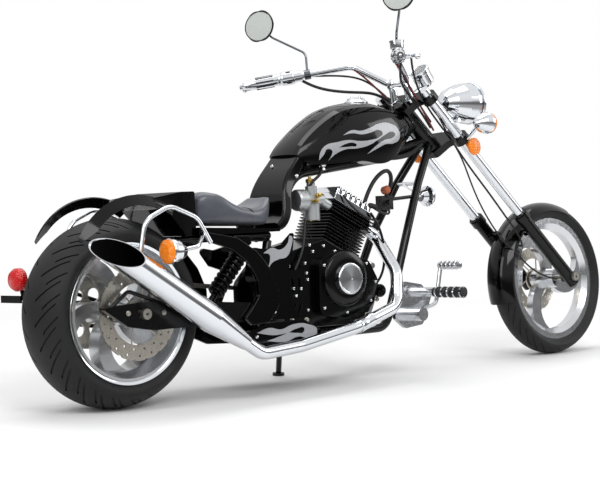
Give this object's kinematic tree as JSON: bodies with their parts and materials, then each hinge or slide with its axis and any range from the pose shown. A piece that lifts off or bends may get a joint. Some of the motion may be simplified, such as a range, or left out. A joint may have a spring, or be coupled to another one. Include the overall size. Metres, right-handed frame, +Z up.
{
  "type": "chopper motorcycle",
  "caption": "Long, low custom motorcycle with raked front fork, wide rear tyre, pull-back handlebar, finned single-cylinder engine and slash-cut silencer, leaning on its side stand.",
  "frame": {"origin": "on the ground, in the middle of the machine's length and width as it is parked", "axes": "+X forwards, +Y to the rider's left, +Z up from the ground"},
  "size_m": [2.5045, 0.8414, 1.3187],
  "materials": {
    "black_paint": "gloss",
    "frame_paint": "gloss",
    "engine_black": "satin",
    "chrome": "polished",
    "polished_alloy": "polished",
    "cast_alloy": "satin",
    "disc_steel": "brushed",
    "axle_steel": "zinc plated",
    "tyre_rubber": "matt",
    "soft_rubber": "matt",
    "seat_vinyl": "grained",
    "black_plastic": "satin",
    "amber_lens": "clear moulding",
    "red_lens": "clear moulding"
  },
  "bodies": {
    "chassis": {"frame_neck": "frame_paint", "frame_cradles": "frame_paint", "swingarm": "frame_paint", "swingarm_cross": "frame_paint", "rear_axle": "axle_steel", "rear_caliper": "polished_alloy", "rear_shock": "chrome", "fuel_tank": "black_paint", "tank_cap": "chrome", "seat_cowl": "black_paint", "seat": "seat_vinyl", "rear_fender": "black_paint", "side_panels": "black_paint", "mid_panels": "black_paint", "belly_panels": "black_paint", "crankcase": "engine_black", "clutch_cover": "engine_black", "clutch_cap": "chrome", "generator_cover": "engine_black", "cylinder": "engine_black", "rocker_cover": "chrome", "carburettor": "cast_alloy", "ignition_coil": "black_plastic", "horn": "chrome", "exhaust_pipe": "chrome", "muffler": "chrome", "drive_chain": "axle_steel", "foot_controls": "polished_alloy", "footpegs": "soft_rubber", "rear_signals": "chrome", "rear_lenses": "amber_lens", "tail_lamp": "red_lens"},
    "steering": {"fork_stanchions": "chrome", "fork_sliders": "frame_paint", "front_axle": "axle_steel", "lower_yoke": "frame_paint", "upper_yoke": "frame_paint", "handlebar": "chrome", "grips": "soft_rubber", "bar_controls": "chrome", "mirrors": "chrome", "headlamp": "chrome", "front_signals": "chrome", "front_lenses": "amber_lens", "speedometer": "chrome", "front_fender": "black_paint", "front_caliper": "polished_alloy"},
    "side_stand": {"side_stand": "frame_paint"},
    "rear_wheel": {"rear_rim": "cast_alloy", "rear_tyre": "tyre_rubber", "rear_disc": "disc_steel", "rear_sprocket": "disc_steel"},
    "front_wheel": {"front_rim": "polished_alloy", "front_tyre": "tyre_rubber", "front_disc": "disc_steel"}
  },
  "joints": [
    {"name": "steering_turn", "type": "hinge", "parent": "chassis", "child": "steering", "pos_m": [0.35195, -0.00734, 0.82442], "axis": [-0.719, 0.0473, 0.6934], "range_deg": [-36.5, 27.5]},
    {"name": "rear_wheel_spin", "type": "hinge", "parent": "chassis", "child": "rear_wheel", "pos_m": [-0.9663, -0.04407, 0.28569], "axis": [0, 0.9977, -0.068], "continuous": true},
    {"name": "front_wheel_spin", "type": "hinge", "parent": "steering", "child": "front_wheel", "pos_m": [0.97861, -0.04199, 0.27236], "axis": [-0.0545, 0.9908, -0.1241], "continuous": true},
    {"name": "side_stand_fold", "type": "hinge", "parent": "chassis", "child": "side_stand", "pos_m": [-0.20638, 0.07554, 0.12877], "axis": [0.0003, 0.8677, 0.4971], "range_deg": [0, 92]}
  ]
}
